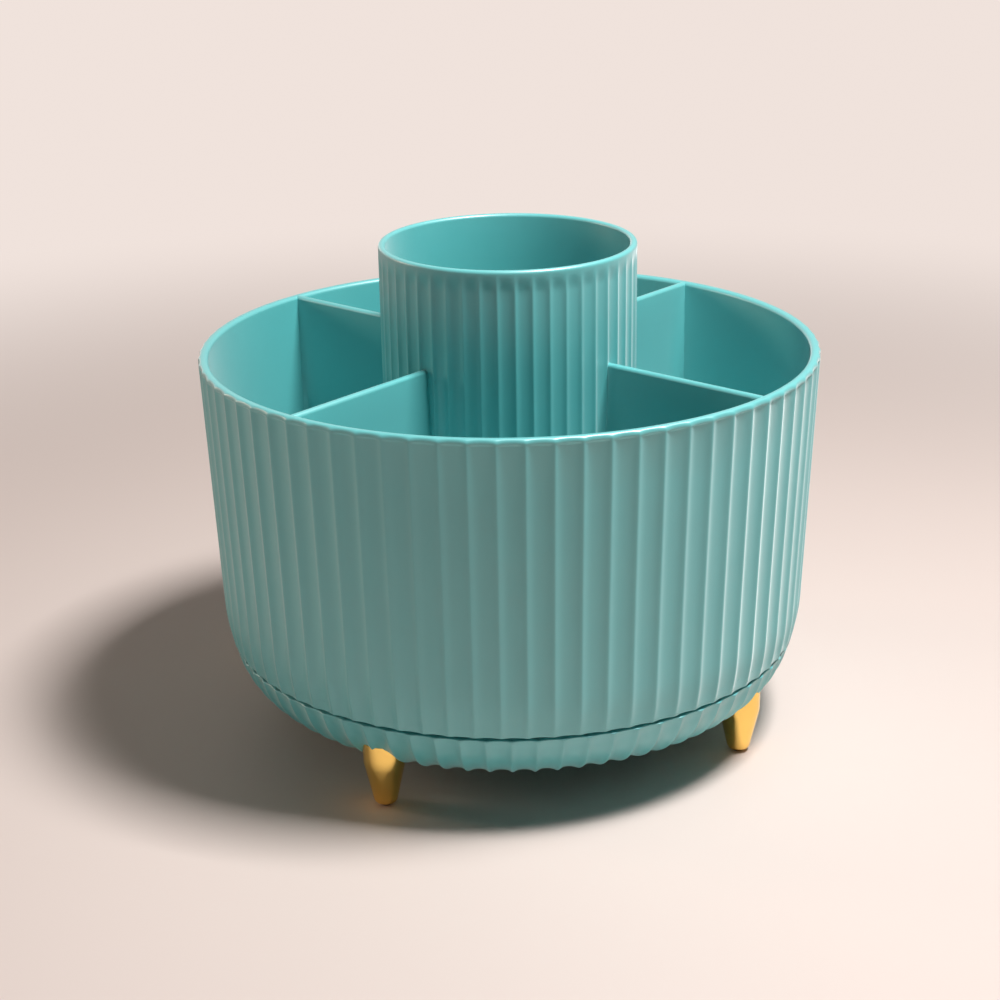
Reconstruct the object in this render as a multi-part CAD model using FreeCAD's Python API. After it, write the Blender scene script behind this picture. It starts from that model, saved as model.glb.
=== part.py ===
import FreeCAD, Part
import math
import os

# Rotating makeup brush holder: a fluted tub with a taller brush cup in its middle and four dividers.
# The tub turns without end on a ring of rollers, on a shallow fluted dish with four gold legs.
# Millimetres, +Z up. The origin is on the table, on the axis that the tub turns about.
# The front of the object looks towards -Y. Azimuths are degrees from +X, counter-clockwise from above.

# Overall size
RIM_RADIUS = 80.0
RIM_HEIGHT = 102.4
CUP_TOP = 129.0
UNDERSIDE = 10.2

# Side profile of tub and dish: a drafted wall, a wide arc, then a tighter arc into the flat underside
WALL_DRAFT = 2.26
WIDE_ARC = 50.0
TIGHT_ARC = 17.5
ARCS_MEET_AT = 20.0
TUB_EDGE = 26.2
SEAM_GAP = 0.8

# Flutes: concave scallops that meet in sharp ridges
FLUTES = 76
FLUTE_DEPTH = 0.42
DISH_ROWS = 3
CUP_FLUTES = 48
CUP_FLUTE_DEPTH = 0.28
CUP_FLUTE_START = 2.75

# Tub
TUB_WALL = 2.6
TUB_FLOOR = 29.0

# Brush cup
CUP_RADIUS = 33.0
CUP_WALL = 1.8
CUP_FLOOR = 35.4
CUP_FLOOR_THICKNESS = 2.0
CUP_FOOT_WALL = 2.8

# Dividers
DIVIDER_TOP_THICKNESS = 2.0
DIVIDER_FOOT_THICKNESS = 2.6
FIRST_DIVIDER = -130.26

# Dish: a flat floor that the rollers run on, over a recess in the underside, inside a solid rim
DISH_MOUTH_RADIUS = 71.2
DISH_FLOOR_THICKNESS = 2.4
DISH_RECESS_RADIUS = 56.0

# Roller ring: short rollers in the pockets of a flat cage that is centred on the pivot screw
ROLLERS = 6
ROLLER_RADIUS = 3.4
ROLLER_LENGTH = 6.0
ROLLER_PITCH_RADIUS = 50.0
ROLLER_PLAY = 0.05
POCKET_PLAY = 0.15
CAGE_SIDES = 12
CAGE_INNER = 45.5
CAGE_OUTER = 56.0
CAGE_THICKNESS = 1.8
CAGE_HUB = 8.0
CAGE_SPOKE = 5.0

# Pivot
SHOULDER_RADIUS = 3.0
SHAFT_PLAY = 0.05
BUSH_RADIUS = 4.8
PIVOT_BOSS_RADIUS = 8.0
PIVOT_BOSS_BOTTOM = 13.4
SCREW_HEAD_RADIUS = 5.2
SCREW_HEAD = 1.9
SCREW_SOCKET = 1.7
SCREW_SOCKET_DEPTH = 0.95
HEXAGON = 6
SCREW_THREAD_RADIUS = 2.0
SCREW_THREAD = 6.0
THREAD_BOSS_RADIUS = 5.0
THREAD_BOSS_TOP = 33.0
WASHER_RADIUS = 6.2
WASHER = 0.8
RUNNING_GAP = 0.3

# Legs
FIRST_LEG = -118.9
LEG_CIRCLE = 66.8
LEG_END_RADIUS = 2.58
LEG_TAPER = 0.226
LEG_NECK = 12.0
LEG_SEAT = 17.9
PAD_RADIUS = 2.2
PAD_HEIGHT = 0.9
FIT = 0.03

QUARTERS = (("front_left", 0), ("front_right", 90), ("back_right", 180), ("back_left", 270))
AXIS = FreeCAD.Vector(0, 0, 1)
ORIGIN = FreeCAD.Vector(0, 0, 0)
OVERSHOOT = 1.0


def polar(radius, azimuth, height):
    """The point at a radius and azimuth (degrees) about the axis, at a height."""
    turn = math.radians(azimuth)
    return FreeCAD.Vector(radius * math.cos(turn), radius * math.sin(turn), height)


def turned(shape, azimuth):
    """A copy of a shape, turned about the object's axis."""
    copy = shape.copy()
    copy.rotate(ORIGIN, AXIS, azimuth)
    return copy


def cylinder(radius, bottom, top, centre=ORIGIN):
    """An upright cylinder between two heights, about the axis or about another centre."""
    return Part.makeCylinder(radius, top - bottom, FreeCAD.Vector(centre.x, centre.y, bottom))


def revolved(outline):
    """A closed outline of (radius, height) points, turned once round the axis."""
    points = [FreeCAD.Vector(radius, 0, height) for radius, height in outline]
    outline_face = Part.Face(Part.makePolygon(points + points[:1]))
    return outline_face.revolve(ORIGIN, AXIS, 360)


def wall_radius(height):
    """Radius of the drafted wall's ridges at a height."""
    return RIM_RADIUS - (RIM_HEIGHT - height) * math.tan(math.radians(WALL_DRAFT))


def arc_centres():
    """(radius, height) of the tight arc's centre and of the wide arc's, all three stretches tangent."""
    meet = math.radians(ARCS_MEET_AT)
    draft = math.radians(WALL_DRAFT)
    tight_height = UNDERSIDE + TIGHT_ARC
    wide_height = tight_height + (WIDE_ARC - TIGHT_ARC) * math.sin(meet)
    touch = wide_height - WIDE_ARC * math.sin(draft)
    wide_radius = wall_radius(touch) - WIDE_ARC * math.cos(draft)
    tight_radius = wide_radius + (WIDE_ARC - TIGHT_ARC) * math.cos(meet)
    return (tight_radius, tight_height), (wide_radius, wide_height)


def profile_at_slope(slope):
    """(radius, height) of the side profile where it leans in by a slope in degrees."""
    tight, wide = arc_centres()
    centre, arc = (wide, WIDE_ARC) if slope < ARCS_MEET_AT else (tight, TIGHT_ARC)
    lean = math.radians(slope)
    return centre[0] + arc * math.cos(lean), centre[1] - arc * math.sin(lean)


def slope_at_height(height):
    """Slope in degrees of the wide arc at a height."""
    wide = arc_centres()[1]
    return math.degrees(math.asin((wide[1] - height) / WIDE_ARC))


def scalloped(radius, height):
    """A level of the tub's or the dish's flutes: (radius, height) of its ridges and of its valleys."""
    return (radius, height), (radius - FLUTE_DEPTH * radius / RIM_RADIUS, height)


def sewn(faces):
    """The solid that a closed set of faces encloses."""
    skin = Part.Compound(faces)
    skin.sewShape()
    solid = Part.Solid(skin.Shells[0])
    if solid.Volume < 0:
        solid.reverse()
    return solid


def fluted_solid(levels, count, start):
    """A closed solid whose skin is scalloped between sharp ridges.

    Each level holds the ridges' and the valleys' (radius, height). In one flute a level is a flat arc
    from ridge to ridge through the valley. Ruled strips join the levels, and flat caps close the ends.
    """
    pitch = 360.0 / count
    arcs = []
    for ridge, valley in levels:
        here = polar(ridge[0], start, ridge[1])
        deep = polar(valley[0], start + pitch / 2, valley[1])
        there = polar(ridge[0], start + pitch, ridge[1])
        arcs.append(Part.Arc(here, deep, there).toShape())
    strips = [Part.makeRuledSurface(low, high) for low, high in zip(arcs, arcs[1:])]
    faces = [turned(strip, k * pitch) for k in range(count) for strip in strips]
    for arc in (arcs[0], arcs[-1]):
        ring = [turned(arc, k * pitch) for k in range(count)]
        faces.append(Part.Face(Part.Wire(ring)))
    return sewn(faces)


def drum(low, high):
    """A tapered drum between two circles, each given by its (radius, height)."""
    circles = [Part.makeCircle(radius, FreeCAD.Vector(0, 0, height), AXIS) for radius, height in (low, high)]
    faces = [Part.Face(Part.Wire([circle])) for circle in circles]
    faces.append(Part.makeRuledSurface(circles[0], circles[1]))
    return sewn(faces)


def tub_inside():
    """What the tub is hollowed by: a tapered drum from the floor to the rim."""
    return drum((wall_radius(TUB_FLOOR) - TUB_WALL, TUB_FLOOR), (RIM_RADIUS - TUB_WALL, RIM_HEIGHT))


def make_tub(inside):
    """The tub: fluted wall, a flat floor, and the boss that the pivot screw holds in."""
    levels = [
        scalloped(*profile_at_slope(slope_at_height(TUB_EDGE))),
        scalloped(*profile_at_slope(WALL_DRAFT)),
        scalloped(RIM_RADIUS, RIM_HEIGHT),
    ]
    tub = fluted_solid(levels, FLUTES, FIRST_DIVIDER).cut(inside)
    tub = tub.fuse(cylinder(THREAD_BOSS_RADIUS, TUB_FLOOR, THREAD_BOSS_TOP))
    return tub.cut(cylinder(SCREW_THREAD_RADIUS + FIT, TUB_EDGE, TUB_EDGE + SCREW_THREAD + FIT))


def cup_outer():
    """The brush cup's fluted outside, filled."""
    valley = CUP_RADIUS - CUP_FLUTE_DEPTH
    levels = [((CUP_RADIUS, height), (valley, height)) for height in (TUB_FLOOR, CUP_TOP)]
    return fluted_solid(levels, CUP_FLUTES, CUP_FLUTE_START)


def make_cup(outer):
    """The brush cup: a tube with a raised floor, a smooth bore and a recess over the tub's boss."""
    recess = cylinder(CUP_RADIUS - CUP_FOOT_WALL, TUB_FLOOR, CUP_FLOOR - CUP_FLOOR_THICKNESS)
    return outer.cut(cylinder(CUP_RADIUS - CUP_WALL, CUP_FLOOR, CUP_TOP)).cut(recess)


def divider_plate(azimuth):
    """A plate that thins upwards to the rim's height, from inside the cup's wall to beyond the tub's."""
    foot = DIVIDER_FOOT_THICKNESS / 2
    top = DIVIDER_TOP_THICKNESS / 2
    start = CUP_RADIUS - CUP_WALL
    corners = [(-foot, TUB_FLOOR), (foot, TUB_FLOOR), (top, RIM_HEIGHT), (-top, RIM_HEIGHT)]
    points = [FreeCAD.Vector(start, y, z) for y, z in corners]
    outline = Part.Face(Part.makePolygon(points + points[:1]))
    return turned(outline.extrude(FreeCAD.Vector(RIM_RADIUS - start, 0, 0)), azimuth)


def make_divider(azimuth, inside, outer):
    """A divider, shaped at its ends to the tub's inside and to the cup's flutes."""
    return divider_plate(azimuth).cut(outer).common(inside)


def roller_height():
    """Height of the rollers' centre lines, just under the tub's flat underside."""
    return TUB_EDGE - ROLLER_PLAY - ROLLER_RADIUS


def dish_floor():
    """Height of the dish's flat floor, just under the rollers."""
    return roller_height() - ROLLER_RADIUS - ROLLER_PLAY


def leg_centre(azimuth):
    """Where a leg's centre line meets the table."""
    return polar(LEG_CIRCLE, azimuth, 0)


def leg_radius(height):
    """Radius of a leg's cone at a height above the table."""
    return LEG_END_RADIUS + LEG_TAPER * height


def make_dish():
    """The dish: fluted skin, roller floor, recessed underside with the pivot boss, sockets for the legs."""
    top = TUB_EDGE - SEAM_GAP
    seam_slope = slope_at_height(top)
    slopes = [seam_slope + (90 - seam_slope) * i / DISH_ROWS for i in range(DISH_ROWS + 1)]
    dish = fluted_solid([scalloped(*profile_at_slope(slope)) for slope in slopes], FLUTES, FIRST_LEG)
    recess_top = dish_floor() - DISH_FLOOR_THICKNESS
    recess = cylinder(DISH_RECESS_RADIUS, UNDERSIDE, recess_top)
    recess = recess.cut(cylinder(PIVOT_BOSS_RADIUS, PIVOT_BOSS_BOTTOM, recess_top))
    dish = dish.cut(cylinder(DISH_MOUTH_RADIUS, dish_floor(), top)).cut(recess)
    dish = dish.cut(cylinder(BUSH_RADIUS + FIT, UNDERSIDE, dish_floor()))
    for _, turn in QUARTERS:
        socket = cylinder(leg_radius(LEG_NECK) + FIT, 0, LEG_SEAT, leg_centre(FIRST_LEG + turn))
        dish = dish.cut(socket)
    return dish


def make_leg(azimuth):
    """A gold leg: a cone that narrows downwards, with a straight seat that fills its socket."""
    seat = leg_radius(LEG_NECK)
    leg = revolved([
        (0, PAD_HEIGHT),
        (leg_radius(PAD_HEIGHT), PAD_HEIGHT),
        (seat, LEG_NECK),
        (seat, LEG_SEAT),
        (0, LEG_SEAT),
    ])
    leg.translate(leg_centre(azimuth))
    return leg


def make_foot_pad(azimuth):
    """The small soft pad under a leg."""
    return cylinder(PAD_RADIUS, 0, PAD_HEIGHT, leg_centre(azimuth))


def make_bush():
    """The sleeve in the pivot boss."""
    sleeve = cylinder(BUSH_RADIUS, PIVOT_BOSS_BOTTOM, dish_floor())
    return sleeve.cut(cylinder(SHOULDER_RADIUS + SHAFT_PLAY, PIVOT_BOSS_BOTTOM, dish_floor()))


def washer_bottom():
    """Height of the pivot washer's lower face."""
    return PIVOT_BOSS_BOTTOM - RUNNING_GAP - WASHER


def make_washer():
    """The washer on the pivot screw's head, just clear of the boss."""
    bottom = washer_bottom()
    ring = cylinder(WASHER_RADIUS, bottom, bottom + WASHER)
    return ring.cut(cylinder(SHOULDER_RADIUS + SHAFT_PLAY, bottom, bottom + WASHER))


def make_pivot_screw():
    """The shoulder screw: hexagon socket in its head, shoulder through the bush, thread in the tub."""
    head_top = washer_bottom()
    head_bottom = head_top - SCREW_HEAD
    thread_top = TUB_EDGE + SCREW_THREAD
    screw = revolved([
        (0, head_bottom),
        (SCREW_HEAD_RADIUS, head_bottom),
        (SCREW_HEAD_RADIUS, head_top),
        (SHOULDER_RADIUS, head_top),
        (SHOULDER_RADIUS, TUB_EDGE),
        (SCREW_THREAD_RADIUS, TUB_EDGE),
        (SCREW_THREAD_RADIUS, thread_top),
        (0, thread_top),
    ])
    return screw.cut(prism(SCREW_SOCKET, HEXAGON, head_bottom, head_bottom + SCREW_SOCKET_DEPTH))


def prism(radius, sides, bottom, top):
    """An upright regular prism about the axis, with a corner towards +X."""
    corners = [polar(radius, i * 360.0 / sides, bottom) for i in range(sides + 1)]
    return Part.Face(Part.makePolygon(corners)).extrude(FreeCAD.Vector(0, 0, top - bottom))


def make_rollers():
    """The rollers, evenly spaced round the floor, their centre lines towards the axis."""
    rollers = []
    for i in range(ROLLERS):
        azimuth = i * 360.0 / ROLLERS
        inner_end = polar(ROLLER_PITCH_RADIUS - ROLLER_LENGTH / 2, azimuth, roller_height())
        outwards = polar(1, azimuth, 0)
        rollers.append(Part.makeCylinder(ROLLER_RADIUS, ROLLER_LENGTH, inner_end, outwards))
    return Part.Compound(rollers)


def make_cage():
    """The cage: a flat many-sided ring with a pocket for each roller, spokes and a hub on the screw."""
    bottom = roller_height() - CAGE_THICKNESS / 2
    top = bottom + CAGE_THICKNESS
    cage = prism(CAGE_OUTER, CAGE_SIDES, bottom, top).cut(prism(CAGE_INNER, CAGE_SIDES, bottom, top))
    cage = cage.fuse(prism(CAGE_HUB, CAGE_SIDES, bottom, top))
    spoke_length = CAGE_INNER + OVERSHOOT
    spoke_corner = FreeCAD.Vector(0, -CAGE_SPOKE / 2, bottom)
    spoke = Part.makeBox(spoke_length, CAGE_SPOKE, CAGE_THICKNESS, spoke_corner)
    pocket_length = ROLLER_LENGTH + 2 * POCKET_PLAY
    pocket_width = 2 * (ROLLER_RADIUS + POCKET_PLAY)
    pocket_corner = FreeCAD.Vector(ROLLER_PITCH_RADIUS - pocket_length / 2, -pocket_width / 2, bottom)
    pocket = Part.makeBox(pocket_length, pocket_width, CAGE_THICKNESS, pocket_corner)
    step = 360.0 / ROLLERS
    for i in range(ROLLERS):
        cage = cage.fuse(turned(spoke, (i + 0.5) * step)).cut(turned(pocket, i * step))
    return cage.cut(cylinder(SHOULDER_RADIUS + SHAFT_PLAY, bottom, top)).removeSplitter()


def all_parts():
    """Every piece of the object, by name."""
    inside = tub_inside()
    outer = cup_outer()
    parts = {
        "base_dish": make_dish(),
        "tub": make_tub(inside),
        "brush_cup": make_cup(outer),
        "pivot_bush": make_bush(),
        "pivot_screw": make_pivot_screw(),
        "pivot_washer": make_washer(),
        "rollers": make_rollers(),
        "roller_cage": make_cage(),
    }
    legs = [FIRST_LEG + turn for _, turn in QUARTERS]
    parts["legs"] = Part.Compound([make_leg(azimuth) for azimuth in legs])
    parts["foot_pads"] = Part.Compound([make_foot_pad(azimuth) for azimuth in legs])
    for place, turn in QUARTERS:
        parts["divider_" + place] = make_divider(FIRST_DIVIDER + turn, inside, outer)
    return parts


def main():
    os.makedirs("parts", exist_ok=True)
    for name, shape in all_parts().items():
        shape.exportStep("parts/" + name + ".step")


main()
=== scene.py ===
import math

import bpy
import numpy as np
from mathutils import Matrix, Vector


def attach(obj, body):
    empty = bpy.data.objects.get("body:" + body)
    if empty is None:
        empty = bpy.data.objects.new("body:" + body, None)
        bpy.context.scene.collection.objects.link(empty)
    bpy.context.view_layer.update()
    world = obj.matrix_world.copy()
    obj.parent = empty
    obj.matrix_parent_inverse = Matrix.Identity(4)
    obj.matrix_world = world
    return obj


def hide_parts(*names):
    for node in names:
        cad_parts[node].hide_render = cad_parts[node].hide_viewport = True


# Rotating makeup brush holder: looks. The shapes below are worked out in millimetres, in the part's own
# frame: origin on the table, on the axis that the tub turns about, +Z up, front towards -Y. They are put in
# as metres. A profile is rows of (radius, height, how far a flute's bottom lies nearer to the axis, how far
# it lies higher).
MM = 0.001

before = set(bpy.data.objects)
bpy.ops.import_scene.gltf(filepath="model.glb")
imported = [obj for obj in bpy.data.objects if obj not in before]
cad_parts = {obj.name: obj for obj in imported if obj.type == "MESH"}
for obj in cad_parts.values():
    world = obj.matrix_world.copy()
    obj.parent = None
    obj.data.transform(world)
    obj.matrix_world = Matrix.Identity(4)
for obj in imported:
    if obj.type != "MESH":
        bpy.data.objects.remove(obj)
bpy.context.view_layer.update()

# Side profile of tub and dish
RIM_RADIUS = 80.0
RIM_HEIGHT = 102.4
WALL_DRAFT = math.radians(2.26)
WIDE_ARC = 50.0
TIGHT_ARC = 17.5
ARCS_MEET_AT = math.radians(20.0)
UNDERSIDE = 10.2
TUB_EDGE = 26.2
DISH_EDGE = 25.4

# Flutes: azimuths in degrees, and the stops are shares of half a flute
FLUTES = 76
FLUTE_DEPTH = 0.8
FIRST_DIVIDER = -130.26
FIRST_LEG = -118.9
CUP_FLUTES = 48
CUP_FLUTE_DEPTH = 0.48
CUP_FLUTE_START = 2.75
LIP_FADE = 0.8
LIP_FLUTES = 0.42
SEAM_FADE = 3.5
SEAM_FLUTES = 0.6
FLUTES_END = 59.5
FLUTES_FULL = 67.0
EDGE_ROUND = 0.3
RIDGE_SOFTNESS = 0.13
FLUTE_FLATNESS = 2.7
FLUTE_STOPS = np.array([0.0, 0.045, 0.1, 0.16, 0.24, 0.35, 0.5, 0.72])

# Tub, cup and dividers
TUB_WALL = 2.6
TUB_LIP = 1.1
TUB_FLOOR = 29.0
TUB_CORNER = 4.0
TUB_UNDERCUT = 6.0
SCREW_HOLE_RADIUS = 2.03
SCREW_HOLE_TOP = 32.2
SCREW_BOSS_RADIUS = 5.0
SCREW_BOSS_TOP = 33.0
CUP_TOP = 129.0
CUP_RADIUS = 33.0
CUP_WALL = 1.8
CUP_LIP = 0.85
CUP_BAND = 128.1
CUP_FADE = 5.0
CUP_FLOOR = 35.4
CUP_CORNER = 3.0
CUP_FOOT_ROUND = 0.6
CUP_RECESS_TOP = 33.4
CUP_RECESS_RADIUS = 30.2
DIVIDER_TOP = 1.0
DIVIDER_FOOT = 1.3
DIVIDER_FILLET = 1.2
DIVIDER_INTO_CUP = 1.0
DIVIDER_INTO_TUB = 1.2
DIVIDER_FLARE_FADE = 30.0
DIVIDER_END_STOPS = np.array([0.0, 0.0015, 0.0035, 0.006, 0.009, 0.012])
FILLET_INTO_CUP = 0.1

# Base dish, inside and beneath
DISH_MOUTH_RADIUS = 71.2
DISH_FLOOR = 19.3
DISH_SHOULDER = 1.8
RECESS_RADIUS = 56.0
RECESS_CHAMFER = 0.3
RECESS_CEILING = 16.9
PIVOT_BOSS_RADIUS = 8.0
PIVOT_BOSS_FOOT = 13.4
BUSH_HOLE_RADIUS = 4.83

# Legs
LEG_CIRCLE = 66.8
LEG_END_RADIUS = 2.58
LEG_TAPER = 0.226
LEG_NECK = 12.0
LEG_SEAT = 17.9
LEG_END = 0.45
LEG_ROUND = 1.6
PAD_RADIUS = 1.5
PAD_HEIGHT = 0.6
PAD_ROUND = 0.2

# Innermost ring of points of a surface that closes on an axis, and the last step of one that closes on itself
POLE_RADIUS = 1.0
LEG_END_POLE = 0.3
LEG_SEAT_POLE = 0.5
PAD_POLE = 0.4
CLOSING_STEP = 0.05


def line(start, end, count):
    """Points from start to end, both included, as an array of (radius, height)."""
    share = np.linspace(0.0, 1.0, count)[:, None]
    return np.array(start) * (1 - share) + np.array(end) * share


def arc(centre, radius, first, last, count):
    """Points round a centre between two angles in degrees, measured from outwards towards up."""
    angle = np.radians(np.linspace(first, last, count))
    return np.column_stack((centre[0] + radius * np.cos(angle), centre[1] + radius * np.sin(angle)))


def wall_radius(height):
    """Radius of the drafted wall's ridges at a height."""
    return RIM_RADIUS - (RIM_HEIGHT - height) * math.tan(WALL_DRAFT)


def arc_centres():
    """(radius, height) of the tight arc's centre and of the wide arc's: wall and arcs are tangent."""
    tight_height = UNDERSIDE + TIGHT_ARC
    wide_height = tight_height + (WIDE_ARC - TIGHT_ARC) * math.sin(ARCS_MEET_AT)
    touch = wide_height - WIDE_ARC * math.sin(WALL_DRAFT)
    wide_radius = wall_radius(touch) - WIDE_ARC * math.cos(WALL_DRAFT)
    tight_radius = wide_radius + (WIDE_ARC - TIGHT_ARC) * math.cos(ARCS_MEET_AT)
    return (tight_radius, tight_height), (wide_radius, wide_height)


def slope_at(height):
    """Slope in degrees of the side profile at a height on its arcs."""
    (_, tight_height), (_, wide_height) = arc_centres()
    meet_height = tight_height - TIGHT_ARC * math.sin(ARCS_MEET_AT)
    if height > meet_height:
        return math.degrees(math.asin((wide_height - height) / WIDE_ARC))
    return math.degrees(math.asin((tight_height - height) / TIGHT_ARC))


def level(points, depth=0.0):
    """Rows whose flutes sink straight inwards, towards the axis."""
    return np.column_stack((points, np.broadcast_to(depth, len(points)), np.zeros(len(points))))


def sloped(centre, points, depth):
    """Rows on an arc whose flutes sink towards the arc's centre."""
    inward = np.array(centre) - points
    inward /= np.linalg.norm(inward, axis=1)[:, None]
    sink = inward * np.reshape(depth, (-1, 1))
    return np.column_stack((points, -sink[:, 0], sink[:, 1]))


def joined(*runs):
    """Runs of rows one after another, with repeated points left out."""
    rows = np.concatenate(runs)
    step = np.linalg.norm(np.diff(rows[:, :2], axis=0), axis=1)
    return rows[np.concatenate(([True], step > 1e-5))]


def eased(value):
    """0 below 0, 1 above 1, and a smooth step between."""
    share = np.clip(value, 0.0, 1.0)
    return share * share * (3.0 - 2.0 * share)


def flute_grid(count, first):
    """Azimuths in degrees and, at each, how deep a concave flute is there, from 0 to 1.

    Across half a flute v runs from 0 at the ridge to 1 in the valley. The depth is 1 - (1 - w)^n, where w
    is v with its start softened, so that the ridge is a small rounding, and n says how flat the valley is.
    """
    stops = np.concatenate((FLUTE_STOPS, [1.0], 2.0 - FLUTE_STOPS[:0:-1]))
    v = np.where(stops <= 1.0, stops, 2.0 - stops)
    softened = np.hypot(v, RIDGE_SOFTNESS) - RIDGE_SOFTNESS
    w = softened / (math.hypot(1.0, RIDGE_SOFTNESS) - RIDGE_SOFTNESS)
    depth = 1.0 - (1.0 - w) ** FLUTE_FLATNESS
    pitch = 360.0 / count
    azimuth = first + pitch * (np.arange(count)[:, None] + stops[None, :] / 2.0)
    return azimuth.ravel(), np.tile(depth, count)


def plain_grid(count):
    """Even azimuths in degrees, with no flutes."""
    return np.arange(count) * 360.0 / count, np.zeros(count)


def turned_surface(profile, grid, centre=(0.0, 0.0), ring=False):
    """Vertices and faces of a closed surface: a profile carried round the upright axis.

    The point of a row at azimuth a is the profile's point, moved inwards and up by the row's flute depths
    times the flute's shape at a. The first and last rows close on the axis, or on each other where the
    surface is a ring. The profile runs so that the outside is on its right.
    """
    azimuth, shape = grid
    turn = np.radians(azimuth)
    radius = profile[:, :1] - profile[:, 2:3] * shape[None, :]
    height = profile[:, 1:2] + profile[:, 3:4] * shape[None, :]
    x = centre[0] + radius * np.cos(turn)
    y = centre[1] + radius * np.sin(turn)
    vertices = np.stack((x, y, height), axis=-1).reshape(-1, 3)
    rows, columns = len(profile), len(azimuth)
    across = np.arange(columns)
    beside = (across + 1) % columns
    low = np.arange(rows if ring else rows - 1)[:, None]
    high = (low + 1) % rows
    low, high = low * columns, high * columns
    quads = np.stack((low + across, low + beside, high + beside, high + across), axis=-1)
    faces = quads.reshape(-1, 4).tolist()
    if not ring:
        poles = np.array([(*centre, profile[0, 1]), (*centre, profile[-1, 1])])
        last = (rows - 1) * columns
        first_pole = np.full(columns, len(vertices))
        last_pole = first_pole + 1
        faces += np.column_stack((first_pole, beside, across)).tolist()
        faces += np.column_stack((last_pole, last + across, last + beside)).tolist()
        vertices = np.concatenate((vertices, poles))
    return vertices, faces


def merged(surfaces):
    """Several surfaces as one set of vertices and faces."""
    vertices, faces, start = [], [], 0
    for points, corners in surfaces:
        vertices.append(points)
        faces += [[start + i for i in corner] for corner in corners]
        start += len(points)
    return np.concatenate(vertices), faces


def piece(name, surface, body, node, material, crease=32.0):
    """A finished piece of the object in place of a CAD node."""
    vertices, faces = surface
    mesh = bpy.data.meshes.new(name)
    mesh.from_pydata((vertices * MM).tolist(), [], faces)
    mesh.polygons.foreach_set("use_smooth", np.ones(len(mesh.polygons), dtype=bool))
    mesh.set_sharp_from_angle(angle=math.radians(crease))
    mesh.materials.append(material)
    mesh.update()
    made = bpy.data.objects.new(name, mesh)
    bpy.context.scene.collection.objects.link(made)
    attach(made, body)
    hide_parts(node)


# Materials
NOISE_LOW, NOISE_HIGH = 0.3, 0.7
GRAIN_STRENGTH = 0.5
MOTTLE = 60.0
ROUGHNESS_MOTTLE = 138.0
SHEEN_ROUGHNESS = 0.4
REFRACTION = 1.6


def new_material(name):
    """A new material, its node tree, the tree's shader and the object's own coordinates."""
    material = bpy.data.materials.new(name)
    material.use_nodes = True
    tree = material.node_tree
    shader = tree.nodes["Principled BSDF"]
    place = tree.nodes.new("ShaderNodeTexCoord").outputs["Object"]
    return material, tree, shader, place


def noise(tree, place, scale, detail=2.0):
    """Smooth noise over the object's own coordinates."""
    node = tree.nodes.new("ShaderNodeTexNoise")
    node.inputs["Scale"].default_value = scale
    node.inputs["Detail"].default_value = detail
    tree.links.new(place, node.inputs["Vector"])
    return node.outputs["Fac"]


def spread(tree, value, low, high, socket):
    """Carries noise into a socket, between two numbers."""
    node = tree.nodes.new("ShaderNodeMapRange")
    node.inputs["From Min"].default_value = NOISE_LOW
    node.inputs["From Max"].default_value = NOISE_HIGH
    node.inputs["To Min"].default_value = low
    node.inputs["To Max"].default_value = high
    tree.links.new(value, node.inputs["Value"])
    tree.links.new(node.outputs["Result"], socket)


def tinted(tree, value, first, second, socket):
    """Carries noise into a colour socket, between two near colours."""
    node = tree.nodes.new("ShaderNodeMix")
    node.data_type = "RGBA"
    node.inputs["A"].default_value = (*first, 1.0)
    node.inputs["B"].default_value = (*second, 1.0)
    tree.links.new(value, node.inputs["Factor"])
    tree.links.new(node.outputs["Result"], socket)


def grained(tree, value, distance, shader):
    """A very fine relief on the surface."""
    node = tree.nodes.new("ShaderNodeBump")
    node.inputs["Strength"].default_value = GRAIN_STRENGTH
    node.inputs["Distance"].default_value = distance
    tree.links.new(value, node.inputs["Height"])
    tree.links.new(node.outputs["Normal"], shader.inputs["Normal"])


def finish_material(
    name, first, second, rough, metallic=0.0, grain=2500.0, relief=0.00001, gloss=0.5, bloom=0.0
):
    """A mottled surface: colour between two near ones, roughness between two numbers, and fine grain. Gloss
    is how strongly it mirrors, and bloom is how much pale haze it shows where it is seen at a low angle."""
    material, tree, shader, place = new_material(name)
    tinted(tree, noise(tree, place, MOTTLE), first, second, shader.inputs["Base Color"])
    spread(tree, noise(tree, place, ROUGHNESS_MOTTLE), rough[0], rough[1], shader.inputs["Roughness"])
    grained(tree, noise(tree, place, grain, 1.0), relief, shader)
    shader.inputs["Metallic"].default_value = metallic
    shader.inputs["Specular IOR Level"].default_value = gloss
    shader.inputs["Sheen Weight"].default_value = bloom
    shader.inputs["Sheen Roughness"].default_value = SHEEN_ROUGHNESS
    shader.inputs["IOR"].default_value = REFRACTION
    return material


teal = finish_material(
    "satin_teal", (0.085, 0.46, 0.475), (0.095, 0.48, 0.49), (0.36, 0.42), gloss=1.0, bloom=0.55
)
gold = finish_material(
    "polished_gold", (0.95, 0.62, 0.16), (0.98, 0.67, 0.20), (0.10, 0.15),
    metallic=1.0, grain=900.0, relief=0.000004
)
rubber = finish_material("dark_rubber", (0.030, 0.024, 0.018), (0.045, 0.036, 0.028), (0.6, 0.75))
nylon = finish_material("natural_nylon", (0.78, 0.78, 0.74), (0.84, 0.84, 0.80), (0.42, 0.52))
zinc = finish_material("zinc_plate", (0.60, 0.61, 0.62), (0.68, 0.69, 0.70), (0.28, 0.40), metallic=1.0)


def seam_depth(distance):
    """Flute depth at a distance from the seam: the flutes run shallower towards it."""
    return FLUTE_DEPTH * (SEAM_FLUTES + (1.0 - SEAM_FLUTES) * eased(distance / SEAM_FADE))


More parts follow.
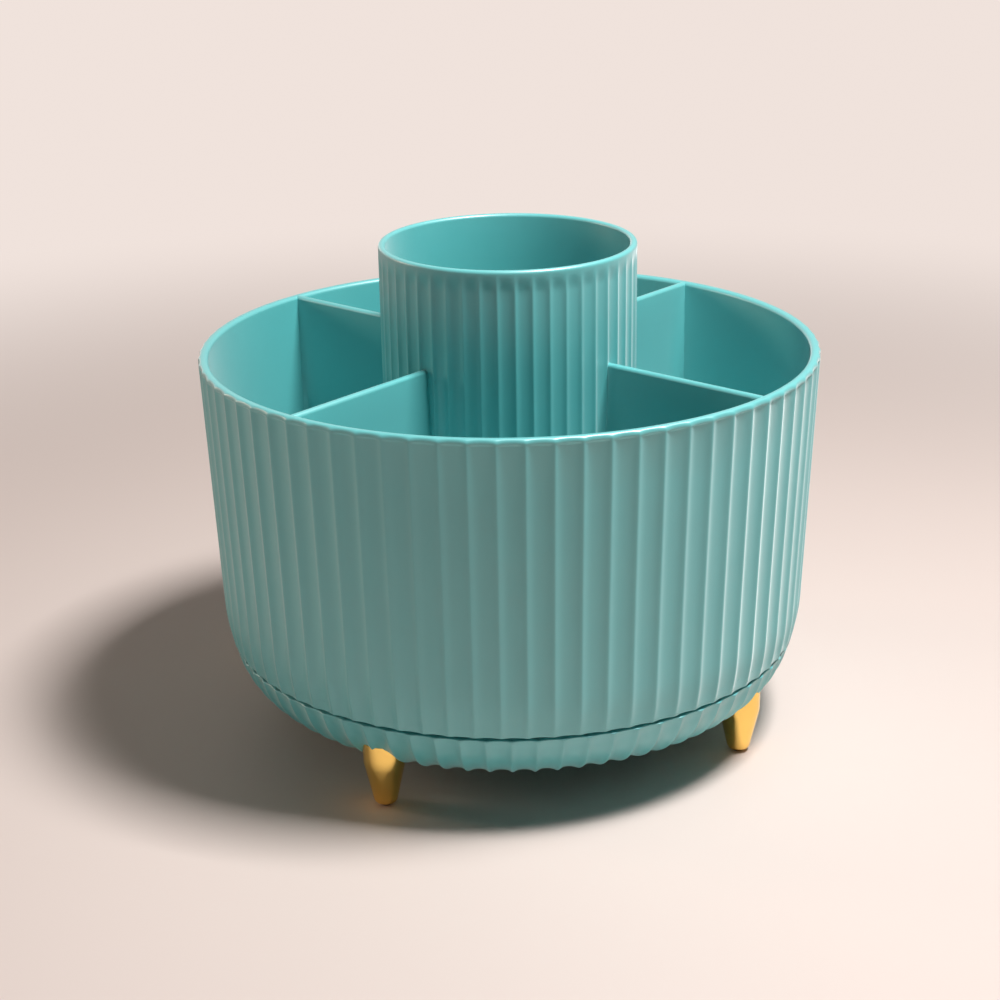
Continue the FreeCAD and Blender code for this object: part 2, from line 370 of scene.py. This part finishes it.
def make_tub():
    """The tub: fluted wall and rounded lip outside, smooth inside, flat floor and underside, screw boss."""
    wide = arc_centres()[1]
    lip_foot = RIM_HEIGHT - TUB_LIP
    outer, inner = wall_radius(lip_foot), wall_radius(lip_foot) - TUB_WALL
    wall_foot = wide[1] - WIDE_ARC * math.sin(WALL_DRAFT)
    edge = arc(wide, WIDE_ARC, -slope_at(TUB_EDGE + EDGE_ROUND), -math.degrees(WALL_DRAFT), 14)
    edge_depth = seam_depth(edge[:, 1] - TUB_EDGE)
    corner_top = TUB_FLOOR + TUB_CORNER
    inner_foot = wall_radius(corner_top) - TUB_WALL
    fade_start = lip_foot - LIP_FADE
    fading = line((wall_radius(fade_start), fade_start), (outer, lip_foot), 7)
    faded = FLUTE_DEPTH * (1.0 - (1.0 - LIP_FLUTES) * eased((fading[:, 1] - fade_start) / LIP_FADE))
    over_lip = FLUTE_DEPTH * LIP_FLUTES * np.cos(np.radians(np.linspace(0.0, 90.0, 9))) ** 2
    edge_centre = (edge[0, 0] - EDGE_ROUND, TUB_EDGE + EDGE_ROUND)
    straight_foot = (wall_radius(wall_foot), wall_foot)
    straight_top = (wall_radius(fade_start), fade_start)
    profile = joined(
        level(line((SCREW_HOLE_RADIUS, SCREW_HOLE_TOP), (SCREW_HOLE_RADIUS, TUB_EDGE), 3)),
        level(line((SCREW_HOLE_RADIUS, TUB_EDGE), (edge[0, 0] - TUB_UNDERCUT, TUB_EDGE), 6)),
        level(arc(edge_centre, EDGE_ROUND, -90.0, -15.0, 5), edge_depth[0]),
        sloped(wide, edge, edge_depth),
        level(line(straight_foot, straight_top, 6), FLUTE_DEPTH),
        level(fading, faded),
        level(arc((outer - TUB_LIP, lip_foot), TUB_LIP, 0.0, 90.0, 9), over_lip),
        level(arc((inner + TUB_LIP, lip_foot), TUB_LIP, 90.0, 180.0, 9)),
        level(line((inner, lip_foot), (inner_foot, corner_top), 5)),
        level(arc((inner_foot - TUB_CORNER, corner_top), TUB_CORNER, 0.0, -90.0, 9)),
        level(line((inner_foot - TUB_CORNER, TUB_FLOOR), (SCREW_BOSS_RADIUS, TUB_FLOOR), 4)),
        level(line((SCREW_BOSS_RADIUS, TUB_FLOOR), (SCREW_BOSS_RADIUS, SCREW_BOSS_TOP), 2)),
        level(line((SCREW_BOSS_RADIUS, SCREW_BOSS_TOP), (POLE_RADIUS, SCREW_BOSS_TOP), 2)),
    )
    return turned_surface(profile, flute_grid(FLUTES, FIRST_DIVIDER))


def make_dish():
    """The dish: fluted skin down to a flat underside, roller floor inside, recess and boss beneath."""
    tight, wide = arc_centres()
    meet = math.degrees(ARCS_MEET_AT)
    upper = arc(wide, WIDE_ARC, -slope_at(DISH_EDGE - EDGE_ROUND), -meet, 7)
    upper_depth = seam_depth(DISH_EDGE - upper[:, 1])
    skin = arc(tight, TIGHT_ARC, -meet, -90.0, 32)
    fade = eased((skin[:, 0] - FLUTES_END) / (FLUTES_FULL - FLUTES_END)) * FLUTE_DEPTH
    edge_centre = (upper[0, 0] - EDGE_ROUND, DISH_EDGE - EDGE_ROUND)
    profile = joined(
        level(line((DISH_MOUTH_RADIUS, DISH_FLOOR), (DISH_MOUTH_RADIUS, DISH_EDGE), 3)),
        level(line((DISH_MOUTH_RADIUS, DISH_EDGE), (upper[0, 0] - DISH_SHOULDER, DISH_EDGE), 3)),
        level(arc(edge_centre, EDGE_ROUND, 90.0, 15.0, 5), upper_depth[0]),
        sloped(wide, upper, upper_depth),
        sloped(tight, skin, fade),
        level(line((tight[0], UNDERSIDE), (RECESS_RADIUS + RECESS_CHAMFER, UNDERSIDE), 3)),
        level(line((RECESS_RADIUS, UNDERSIDE + RECESS_CHAMFER), (RECESS_RADIUS, RECESS_CEILING), 3)),
        level(line((RECESS_RADIUS, RECESS_CEILING), (PIVOT_BOSS_RADIUS, RECESS_CEILING), 6)),
        level(line((PIVOT_BOSS_RADIUS, RECESS_CEILING), (PIVOT_BOSS_RADIUS, PIVOT_BOSS_FOOT), 3)),
        level(line((PIVOT_BOSS_RADIUS, PIVOT_BOSS_FOOT), (BUSH_HOLE_RADIUS, PIVOT_BOSS_FOOT), 3)),
        level(line((BUSH_HOLE_RADIUS, PIVOT_BOSS_FOOT), (BUSH_HOLE_RADIUS, DISH_FLOOR), 3)),
        level(line((BUSH_HOLE_RADIUS, DISH_FLOOR), (DISH_MOUTH_RADIUS - CLOSING_STEP, DISH_FLOOR), 8)),
    )
    return turned_surface(profile[::-1], flute_grid(FLUTES, FIRST_LEG), ring=True)


def make_cup():
    """The brush cup: flutes that stop just under a plain lip, smooth bore, raised floor, open recess."""
    bore = CUP_RADIUS - CUP_WALL
    lip_foot = CUP_TOP - CUP_LIP
    fade_start = CUP_BAND - CUP_FADE
    wall = line((CUP_RADIUS, TUB_FLOOR), (CUP_RADIUS, fade_start), 12)
    fading = line((CUP_RADIUS, fade_start), (CUP_RADIUS, lip_foot), 12)
    faded = CUP_FLUTE_DEPTH * (1.0 - eased((fading[:, 1] - fade_start) / CUP_FADE))
    profile = joined(
        level(line((POLE_RADIUS, CUP_RECESS_TOP), (CUP_RECESS_RADIUS, CUP_RECESS_TOP), 4)),
        level(line((CUP_RECESS_RADIUS, CUP_RECESS_TOP), (CUP_RECESS_RADIUS, TUB_FLOOR), 3)),
        level(line((CUP_RECESS_RADIUS, TUB_FLOOR), (CUP_RADIUS - CUP_FOOT_ROUND, TUB_FLOOR), 3)),
        level(wall, CUP_FLUTE_DEPTH),
        level(fading, faded),
        level(arc((CUP_RADIUS - CUP_LIP, lip_foot), CUP_LIP, 0.0, 90.0, 8)),
        level(arc((bore + CUP_LIP, lip_foot), CUP_LIP, 90.0, 180.0, 8)),
        level(line((bore, lip_foot), (bore, CUP_FLOOR + CUP_CORNER), 8)),
        level(arc((bore - CUP_CORNER, CUP_FLOOR + CUP_CORNER), CUP_CORNER, 0.0, -90.0, 8)),
        level(line((bore - CUP_CORNER, CUP_FLOOR), (POLE_RADIUS, CUP_FLOOR), 5)),
    )
    return turned_surface(profile, flute_grid(CUP_FLUTES, CUP_FLUTE_START))


def make_divider(azimuth):
    """A divider plate between the cup's wall and the tub's.

    Rows run along the plate, from inside the cup's wall into the tub's; columns run round its section, up
    one face, over the rounded top and down the other. The half thickness tapers from foot to top and flares
    by a quarter round where the plate meets the cup, the tub and the floor.
    """
    top_height = RIM_HEIGHT - DIVIDER_TOP
    foot_heights = TUB_FLOOR + np.array([0.0, 0.15, 0.4, 0.8, DIVIDER_FILLET])
    heights = np.concatenate((foot_heights, np.linspace(TUB_FLOOR + 5.0, top_height, 12)))
    lean = (heights - TUB_FLOOR) / (top_height - TUB_FLOOR)
    half = DIVIDER_FOOT + (DIVIDER_TOP - DIVIDER_FOOT) * lean
    rise = np.clip(1.0 - (heights - TUB_FLOOR) / DIVIDER_FILLET, 0.0, 1.0)
    half = half + DIVIDER_FILLET * (1.0 - np.sqrt(1.0 - rise * rise))
    crown = np.radians(np.linspace(0.0, 180.0, 15)[1:-1])
    side = np.concatenate((half, DIVIDER_TOP * np.cos(crown), -half[::-1]))
    up = np.concatenate((heights, top_height + DIVIDER_TOP * np.sin(crown), heights[::-1]))
    outer = wall_radius(up) - TUB_WALL
    start = CUP_RADIUS - DIVIDER_INTO_CUP
    along = np.concatenate((DIVIDER_END_STOPS, np.linspace(0.05, 0.95, 8), 1.0 - DIVIDER_END_STOPS[::-1]))
    reach = outer + DIVIDER_INTO_TUB - start
    x = start + along[:, None] * reach[None, :]
    gap = np.minimum(x - (CUP_RADIUS - FILLET_INTO_CUP), outer[None, :] - x)
    flare = np.clip(1.0 - gap / DIVIDER_FILLET, 0.0, 1.0)
    below_rim = eased((RIM_HEIGHT - up) / DIVIDER_FLARE_FADE)
    flare = DIVIDER_FILLET * (1.0 - np.sqrt(1.0 - flare * flare)) * below_rim[None, :]
    outwards = np.sign(side) * np.minimum(1.0, np.abs(side) / DIVIDER_TOP)
    y = side[None, :] + flare * outwards[None, :]
    z = np.broadcast_to(up, x.shape)
    turn = math.radians(azimuth)
    cos, sin = math.cos(turn), math.sin(turn)
    vertices = np.stack((x * cos - y * sin, x * sin + y * cos, z), axis=-1).reshape(-1, 3)
    rows, columns = x.shape
    across = np.arange(columns)
    beside = (across + 1) % columns
    low = np.arange(rows - 1)[:, None] * columns
    high = low + columns
    quads = np.stack((low + across, low + beside, high + beside, high + across), axis=-1).reshape(-1, 4)
    faces = quads.tolist() + [across[::-1].tolist(), ((rows - 1) * columns + across).tolist()]
    return vertices, faces


def leg_centres():
    """(x, y) of the four legs' centre lines."""
    turn = np.radians(FIRST_LEG + 90.0 * np.arange(4))
    return np.column_stack((LEG_CIRCLE * np.cos(turn), LEG_CIRCLE * np.sin(turn)))


def make_legs():
    """The four legs: cones that narrow towards a rounded end, with a straight seat above."""
    lean = math.atan(LEG_TAPER)
    round_height = LEG_END + LEG_ROUND
    reach = LEG_END_RADIUS + LEG_TAPER * round_height - LEG_ROUND * math.cos(lean)
    rounding = arc((reach, round_height), LEG_ROUND, -90.0, -math.degrees(lean), 10)
    neck = (LEG_END_RADIUS + LEG_TAPER * LEG_NECK, LEG_NECK)
    top = (neck[0], LEG_SEAT)
    profile = joined(
        level(line((LEG_END_POLE, LEG_END), rounding[0], 3)),
        level(rounding),
        level(line(rounding[-1], neck, 10)),
        level(line(neck, top, 4)),
        level(line(top, (LEG_SEAT_POLE, LEG_SEAT), 3)),
    )
    return merged([turned_surface(profile, plain_grid(64), tuple(centre)) for centre in leg_centres()])


def make_pads():
    """The four foot pads, with a slightly rounded edge."""
    profile = joined(
        level(line((PAD_POLE, 0.0), (PAD_RADIUS - PAD_ROUND, 0.0), 3)),
        level(arc((PAD_RADIUS - PAD_ROUND, PAD_ROUND), PAD_ROUND, -90.0, 0.0, 5)),
        level(line((PAD_RADIUS, PAD_ROUND), (PAD_RADIUS, PAD_HEIGHT), 2)),
        level(line((PAD_RADIUS, PAD_HEIGHT), (PAD_POLE, PAD_HEIGHT), 2)),
    )
    return merged([turned_surface(profile, plain_grid(48), tuple(centre)) for centre in leg_centres()])


piece("tub_shell", make_tub(), "turntable", "tub", teal)
piece("cup_shell", make_cup(), "turntable", "brush_cup", teal)
for corner, turn in (("front_left", 0), ("front_right", 90), ("back_right", 180), ("back_left", 270)):
    name = "divider_" + corner
    piece(name + "_plate", make_divider(FIRST_DIVIDER + turn), "turntable", name, teal)
piece("dish_shell", make_dish(), "base", "base_dish", teal)
piece("gold_legs", make_legs(), "base", "legs", gold)
piece("leg_pads", make_pads(), "base", "foot_pads", rubber)

for node, material, slot in (
    ("rollers", nylon, "nylon"),
    ("roller_cage", nylon, "nylon"),
    ("pivot_bush", nylon, "nylon"),
    ("pivot_screw", zinc, "steel"),
    ("pivot_washer", zinc, "steel"),
):
    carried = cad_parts[node]
    carried.data.materials.clear()
    carried.data.materials.append(material)

# Floor: plain and pale
FLOOR_REACH = 6.0
FLOOR_MOTTLE = 3.0
FLOOR_ROUGHNESS = 0.55
FLOOR_COLOURS = (0.67, 0.575, 0.54), (0.70, 0.60, 0.565)
floor_corners = [(x * FLOOR_REACH, y * FLOOR_REACH, 0.0) for x, y in ((-1, -1), (1, -1), (1, 1), (-1, 1))]
floor_mesh = bpy.data.meshes.new("floor")
floor_mesh.from_pydata(floor_corners, [], [(0, 1, 2, 3)])
floor = bpy.data.objects.new("floor", floor_mesh)
bpy.context.scene.collection.objects.link(floor)
floor_material, floor_tree, floor_shader, floor_place = new_material("pale_floor")
floor_noise = noise(floor_tree, floor_place, FLOOR_MOTTLE)
tinted(floor_tree, floor_noise, *FLOOR_COLOURS, floor_shader.inputs["Base Color"])
floor_shader.inputs["Roughness"].default_value = FLOOR_ROUGHNESS
floor_mesh.materials.append(floor_material)


def seen_rays(tree, kinds):
    """1 for the kinds of ray named, such as those that reach the camera, and 0 for light on the object."""
    rays = tree.nodes.new("ShaderNodeLightPath")
    seen = rays.outputs[kinds[0]]
    for kind in kinds[1:]:
        either = tree.nodes.new("ShaderNodeMath")
        either.operation = "MAXIMUM"
        tree.links.new(seen, either.inputs[0])
        tree.links.new(rays.outputs[kind], either.inputs[1])
        seen = either.outputs["Value"]
    return seen


# Away from the object the floor shows as an even pale ground. Near the object it keeps its shadow.
PALE = (0.87, 0.765, 0.715, 1.0)
BACKGROUND_RAYS = ("Is Camera Ray", "Is Glossy Ray", "Is Transmission Ray")
SHADOW_REACH = 0.2
EVEN_BEYOND = 0.62
away = floor_tree.nodes.new("ShaderNodeVectorMath")
away.operation = "LENGTH"
floor_tree.links.new(floor_place, away.inputs[0])
far = floor_tree.nodes.new("ShaderNodeMapRange")
far.interpolation_type = "SMOOTHSTEP"
far.inputs["From Min"].default_value = SHADOW_REACH
far.inputs["From Max"].default_value = EVEN_BEYOND
floor_tree.links.new(away.outputs["Value"], far.inputs["Value"])
share = floor_tree.nodes.new("ShaderNodeMath")
share.operation = "MULTIPLY"
floor_tree.links.new(far.outputs["Result"], share.inputs[0])
floor_tree.links.new(seen_rays(floor_tree, BACKGROUND_RAYS), share.inputs[1])
glow = floor_tree.nodes.new("ShaderNodeEmission")
glow.inputs["Color"].default_value = PALE
blend = floor_tree.nodes.new("ShaderNodeMixShader")
floor_tree.links.new(share.outputs["Value"], blend.inputs[0])
floor_tree.links.new(floor_shader.outputs[0], blend.inputs[1])
floor_tree.links.new(glow.outputs[0], blend.inputs[2])
floor_tree.links.new(blend.outputs[0], floor_tree.nodes["Material Output"].inputs["Surface"])

# World: an even surround that lights the object faintly and shows as the same pale ground
SURROUND_LIGHT = 0.04
world = bpy.data.worlds.new("surround")
bpy.context.scene.world = world
world.use_nodes = True
sky = world.node_tree.nodes["Background"]
seen = seen_rays(world.node_tree, BACKGROUND_RAYS)
strength = world.node_tree.nodes.new("ShaderNodeMapRange")
strength.inputs["To Min"].default_value = SURROUND_LIGHT
strength.inputs["To Max"].default_value = 1.0
world.node_tree.links.new(seen, strength.inputs["Value"])
world.node_tree.links.new(strength.outputs["Result"], sky.inputs["Strength"])
sky.inputs["Color"].default_value = PALE


# Lamps: the main one, and a weak warm one at the left
LAMPS_AIM = Vector((0.0, 0.0, 0.05))


def lamp(name, position, size, power, colour):
    """A soft square lamp at a position in metres, turned towards the object, that the camera doesn't see."""
    data = bpy.data.lights.new(name, "AREA")
    data.size = size
    data.energy = power
    data.color = colour
    made = bpy.data.objects.new(name, data)
    made.location = position
    made.rotation_mode = "QUATERNION"
    made.rotation_quaternion = (LAMPS_AIM - Vector(position)).to_track_quat("-Z", "Y")
    made.visible_camera = False
    bpy.context.scene.collection.objects.link(made)


lamp("key", (0.199, -0.093, 0.608), 0.14, 5.5, (1.0, 0.99, 0.97))
lamp("rim", (-1.15, 0.30, 0.33), 0.25, 2.8, (1.0, 0.78, 0.62))

# Camera at the photograph's viewing angle
FOCAL_PIXELS = 1960.0
IMAGE_PIXELS = 1000.0
SENSOR_WIDTH = 36.0
CAMERA_PLACE = (0.0, -0.4905, 0.2417)
PITCH, YAW, ROLL = 0.3576, -0.0061, -0.0164
camera_data = bpy.data.cameras.new("camera")
camera = bpy.data.objects.new("camera", camera_data)
camera_data.sensor_width = SENSOR_WIDTH
camera_data.sensor_fit = "HORIZONTAL"
camera_data.lens = FOCAL_PIXELS * SENSOR_WIDTH / IMAGE_PIXELS
forward = Vector((math.sin(YAW) * math.cos(PITCH), math.cos(YAW) * math.cos(PITCH), -math.sin(PITCH)))
right = Vector((math.cos(YAW), -math.sin(YAW), 0.0))
up = right.cross(forward)
rolled_right = math.cos(ROLL) * right + math.sin(ROLL) * up
rolled_up = -math.sin(ROLL) * right + math.cos(ROLL) * up
facing = Matrix((rolled_right, rolled_up, -forward)).transposed()
camera.matrix_world = Matrix.Translation(CAMERA_PLACE) @ facing.to_4x4()
bpy.context.scene.collection.objects.link(camera)
bpy.context.scene.camera = camera
bpy.context.scene.view_settings.view_transform = "Standard"

bpy.context.view_layer.update()
